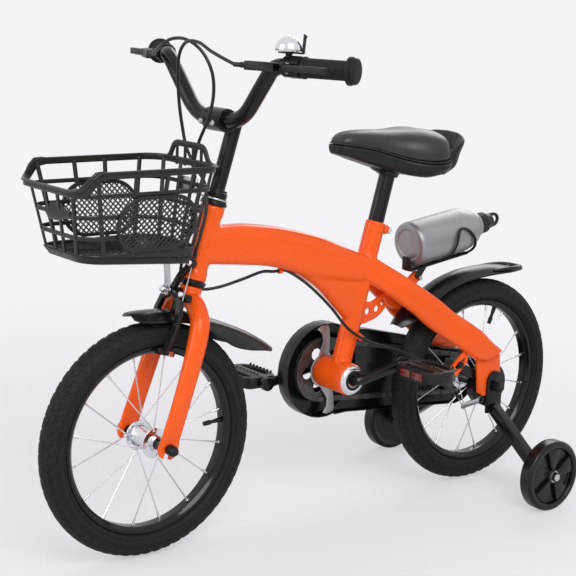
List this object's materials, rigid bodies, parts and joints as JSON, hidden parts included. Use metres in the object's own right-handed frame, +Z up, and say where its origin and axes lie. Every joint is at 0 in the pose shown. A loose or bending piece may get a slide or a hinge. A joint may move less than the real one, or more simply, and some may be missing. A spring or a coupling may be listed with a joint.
{
  "type": "kids bike with training wheels",
  "caption": "Small step-through bicycle with an arched beam frame, wire-spoked wheels, front basket, fenders, enclosed chain, bottle in a cage, bell, hand brakes and training wheels.",
  "frame": {"origin": "on the ground, midway between the wheel axles, on the centre plane", "axes": "+X forward (direction of travel), +Y to the rider's left, +Z up"},
  "size_m": [1, 0.4892, 0.7587],
  "materials": {
    "orange_paint": "gloss orange lacquer with fine orange peel",
    "black_paint": "satin black powder coat",
    "black_plastic": "moulded, lightly grained",
    "gloss_plastic": "smooth glossy moulding",
    "tyre_rubber": "moulded block tread",
    "grip_rubber": "soft, ribbed",
    "bright_steel": "plated, bright",
    "zinc_steel": "zinc plated",
    "grey_plate": "plain grey sheet",
    "brushed_aluminium": "brushed, grey",
    "saddle_vinyl": "stitched synthetic leather over foam",
    "chain_steel": "dark oiled steel"
  },
  "bodies": {
    "frame": {"frame": "orange_paint", "headset_cup_upper": "black_paint", "headset_cup_lower": "black_paint", "bottom_bracket_cup_left": "bright_steel", "bottom_bracket_cup_right": "bright_steel", "seat_clamp_bolt": "bright_steel", "rear_fender": "gloss_plastic", "chain_guard": "gloss_plastic", "chain_guard_bracket": "grey_plate", "chain": "chain_steel", "bottle_cage": "black_plastic", "training_bracket_left": "black_paint", "training_bracket_right": "black_paint", "rear_axle": "black_plastic", "band_brake_cover": "black_paint", "rear_brake_cable_lower": "black_plastic"},
    "seat": {"seat_post": "black_paint", "saddle_base": "black_plastic", "saddle_pad": "saddle_vinyl"},
    "steering": {"fork": "orange_paint", "headset_nut": "black_paint", "stem": "black_paint", "handlebar": "black_paint", "grip_left": "grip_rubber", "grip_right": "grip_rubber", "lever_perch_left": "black_plastic", "lever_perch_right": "black_plastic", "bell_base": "black_plastic", "bell_dome": "bright_steel", "basket": "black_plastic", "basket_bracket": "zinc_steel", "basket_stay": "zinc_steel", "front_fender": "gloss_plastic", "calliper_bolt": "bright_steel", "front_axle": "black_plastic", "front_brake_cable": "black_plastic", "rear_brake_cable_upper": "black_plastic"},
    "front_wheel": {"front_tyre": "tyre_rubber", "front_rim": "black_paint", "front_hub": "bright_steel"},
    "rear_wheel": {"rear_tyre": "tyre_rubber", "rear_rim": "black_paint", "rear_hub": "bright_steel"},
    "rear_sprocket": {"sprocket": "chain_steel"},
    "crankset": {"crank": "black_paint", "chainring": "chain_steel"},
    "left_pedal": {"pedal_left": "black_plastic"},
    "right_pedal": {"pedal_right": "black_plastic"},
    "left_training_wheel": {"training_wheel_left": "black_plastic"},
    "right_training_wheel": {"training_wheel_right": "black_plastic"},
    "left_lever": {"brake_lever_left": "black_plastic"},
    "right_lever": {"brake_lever_right": "black_plastic"},
    "left_calliper": {"calliper_arm_left": "black_paint"},
    "right_calliper": {"calliper_arm_right": "black_paint"},
    "band_arm": {"band_brake_arm": "black_paint"},
    "thumb_lever": {"bell_lever": "black_plastic"},
    "flask": {"bottle": "brushed_aluminium"},
    "flask_cap": {"bottle_cap": "black_plastic"}
  },
  "joints": [
    {"name": "steering_turn", "type": "hinge", "parent": "frame", "child": "steering", "pos_m": [0.25938, 0, 0.38054], "axis": [-0.284, 0, 0.9588], "range_deg": [-40, 40]},
    {"name": "seat_height", "type": "slide", "parent": "frame", "child": "seat", "axis": [-0.2538, 0, 0.9673], "range_m": [-0.04, 0.03]},
    {"name": "front_wheel_spin", "type": "hinge", "parent": "steering", "child": "front_wheel", "pos_m": [0.326, 0, 0.175], "axis": [0, 1, 0], "continuous": true},
    {"name": "rear_wheel_spin", "type": "hinge", "parent": "frame", "child": "rear_wheel", "pos_m": [-0.326, 0, 0.175], "axis": [0, 1, 0], "continuous": true},
    {"name": "crank_spin", "type": "hinge", "parent": "frame", "child": "crankset", "pos_m": [-0.029, 0, 0.221], "axis": [0, 1, 0], "continuous": true},
    {"name": "sprocket_spin", "type": "hinge", "parent": "frame", "child": "rear_sprocket", "pos_m": [-0.326, 0, 0.175], "axis": [0, 1, 0], "continuous": true},
    {"name": "left_pedal_spin", "type": "hinge", "parent": "crankset", "child": "left_pedal", "pos_m": [-0.11703, 0.1, 0.23971], "axis": [0, 1, 0], "continuous": true},
    {"name": "right_pedal_spin", "type": "hinge", "parent": "crankset", "child": "right_pedal", "pos_m": [0.05903, -0.1, 0.20229], "axis": [0, 1, 0], "continuous": true},
    {"name": "left_training_spin", "type": "hinge", "parent": "frame", "child": "left_training_wheel", "pos_m": [-0.326, 0.191, 0.0582], "axis": [0, 1, 0], "continuous": true},
    {"name": "right_training_spin", "type": "hinge", "parent": "frame", "child": "right_training_wheel", "pos_m": [-0.326, -0.191, 0.0582], "axis": [0, 1, 0], "continuous": true},
    {"name": "left_lever_pull", "type": "hinge", "parent": "steering", "child": "left_lever", "pos_m": [0.23013, 0.17142, 0.71469], "axis": [-0.0038, 0.0076, 1], "range_deg": [0, 16], "stiffness_Nm_per_rad": 0.6},
    {"name": "right_lever_pull", "type": "hinge", "parent": "steering", "child": "right_lever", "pos_m": [0.23013, -0.17142, 0.71469], "axis": [0.0038, 0.0076, -1], "range_deg": [0, 16], "stiffness_Nm_per_rad": 0.6},
    {"name": "left_calliper_close", "type": "hinge", "parent": "steering", "child": "left_calliper", "pos_m": [0.25938, 0, 0.38054], "axis": [-0.9588, 0, -0.284], "range_deg": [0, 1.1]},
    {"name": "right_calliper_close", "type": "hinge", "parent": "steering", "child": "right_calliper", "pos_m": [0.25938, 0, 0.38054], "axis": [0.9588, 0, 0.284], "range_deg": [0, 1.1]},
    {"name": "band_arm_pull", "type": "hinge", "parent": "frame", "child": "band_arm", "pos_m": [-0.3038, 0.049, 0.15206], "axis": [0, -1, 0], "range_deg": [0, 8]},
    {"name": "bell_ring", "type": "hinge", "parent": "steering", "child": "thumb_lever", "pos_m": [0.2088, 0.14711, 0.7335], "axis": [-0.4506, 0.8927, -0.0085], "range_deg": [0, 12], "stiffness_Nm_per_rad": 0.05},
    {"name": "flask_pull", "type": "slide", "parent": "frame", "child": "flask", "axis": [-0.989, 0, 0.1478], "range_m": [0, 0.09]},
    {"name": "flask_cap_turn", "type": "hinge", "parent": "flask", "child": "flask_cap", "pos_m": [-0.164, 0, 0.419], "axis": [-0.989, 0, 0.1478], "range_deg": [0, 360]}
  ],
  "couplings": [
    {"joint": "sprocket_spin", "follows": "crank_spin", "ratio": 1.5},
    {"joint": "left_calliper_close", "follows": "left_lever_pull", "ratio": 0.06875},
    {"joint": "right_calliper_close", "follows": "left_lever_pull", "ratio": 0.06875},
    {"joint": "band_arm_pull", "follows": "right_lever_pull", "ratio": 0.5}
  ]
}
